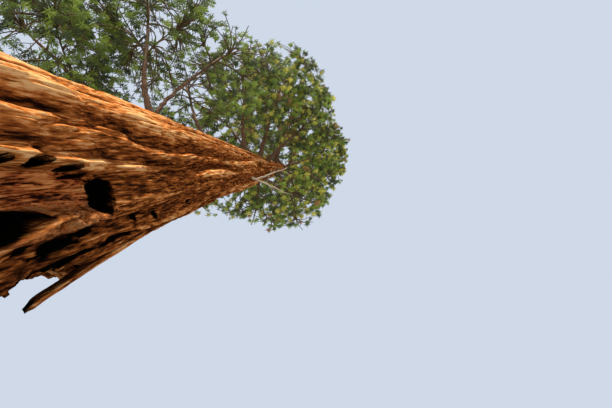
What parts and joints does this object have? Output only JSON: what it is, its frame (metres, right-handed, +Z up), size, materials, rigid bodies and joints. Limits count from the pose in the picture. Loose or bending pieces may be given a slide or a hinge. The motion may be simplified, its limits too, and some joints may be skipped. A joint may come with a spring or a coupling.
{
  "type": "giant sequoia tree",
  "caption": "Tall old conifer with a fluted, fire-scarred trunk flared at its foot, upturned boughs and clumps of green foliage round its upper half.",
  "frame": {"origin": "centre of the flat cut under the trunk, at ground level", "axes": "+Z up along the trunk, -Y towards the side with the fire scar, -X towards the wider side of the crown"},
  "size_m": [10.08, 10.8779, 40],
  "materials": {
    "bark": "thick fibrous cinnamon-red bark, matt, charred in its hollows",
    "limb_bark": "thin scaly red-brown bark, matt",
    "dead_wood": "bare weathered wood, matt",
    "foliage": "scaly evergreen needles, matt with a slight sheen"
  },
  "bodies": {
    "root": {"bough_01": "limb_bark", "bough_02": "limb_bark", "bough_03": "limb_bark", "bough_04": "limb_bark", "bough_05": "limb_bark", "bough_06": "limb_bark", "bough_07": "limb_bark", "bough_08": "limb_bark", "bough_09": "limb_bark", "bough_10": "limb_bark", "bough_11": "limb_bark", "bough_12": "limb_bark", "bough_13": "limb_bark", "bough_14": "limb_bark", "bough_15": "limb_bark", "bough_16": "limb_bark", "bough_17": "limb_bark", "bough_18": "limb_bark", "bough_19": "limb_bark", "bough_20": "limb_bark", "bough_21": "limb_bark", "bough_22": "limb_bark", "dead_limb": "dead_wood", "low_bough_a": "limb_bark", "low_bough_a_fork": "limb_bark", "low_bough_b": "limb_bark", "low_bough_c": "limb_bark", "low_bough_d": "limb_bark", "low_mass_a": "foliage", "low_mass_a_fork": "foliage", "low_mass_b": "foliage", "low_mass_c": "foliage", "low_mass_d": "foliage", "mass_01": "foliage", "mass_02": "foliage", "mass_03": "foliage", "mass_04": "foliage", "mass_05": "foliage", "mass_06": "foliage", "mass_07": "foliage", "mass_08": "foliage", "mass_09": "foliage", "mass_10": "foliage", "mass_11": "foliage", "mass_12": "foliage", "mass_13": "foliage", "mass_14": "foliage", "mass_15": "foliage", "mass_16": "foliage", "mass_17": "foliage", "mass_18": "foliage", "mass_19": "foliage", "mass_20": "foliage", "mass_21": "foliage", "mass_22": "foliage", "side_bough": "limb_bark", "side_mass": "foliage", "top_mass": "foliage", "trunk": "bark"}
  },
  "joints": []
}
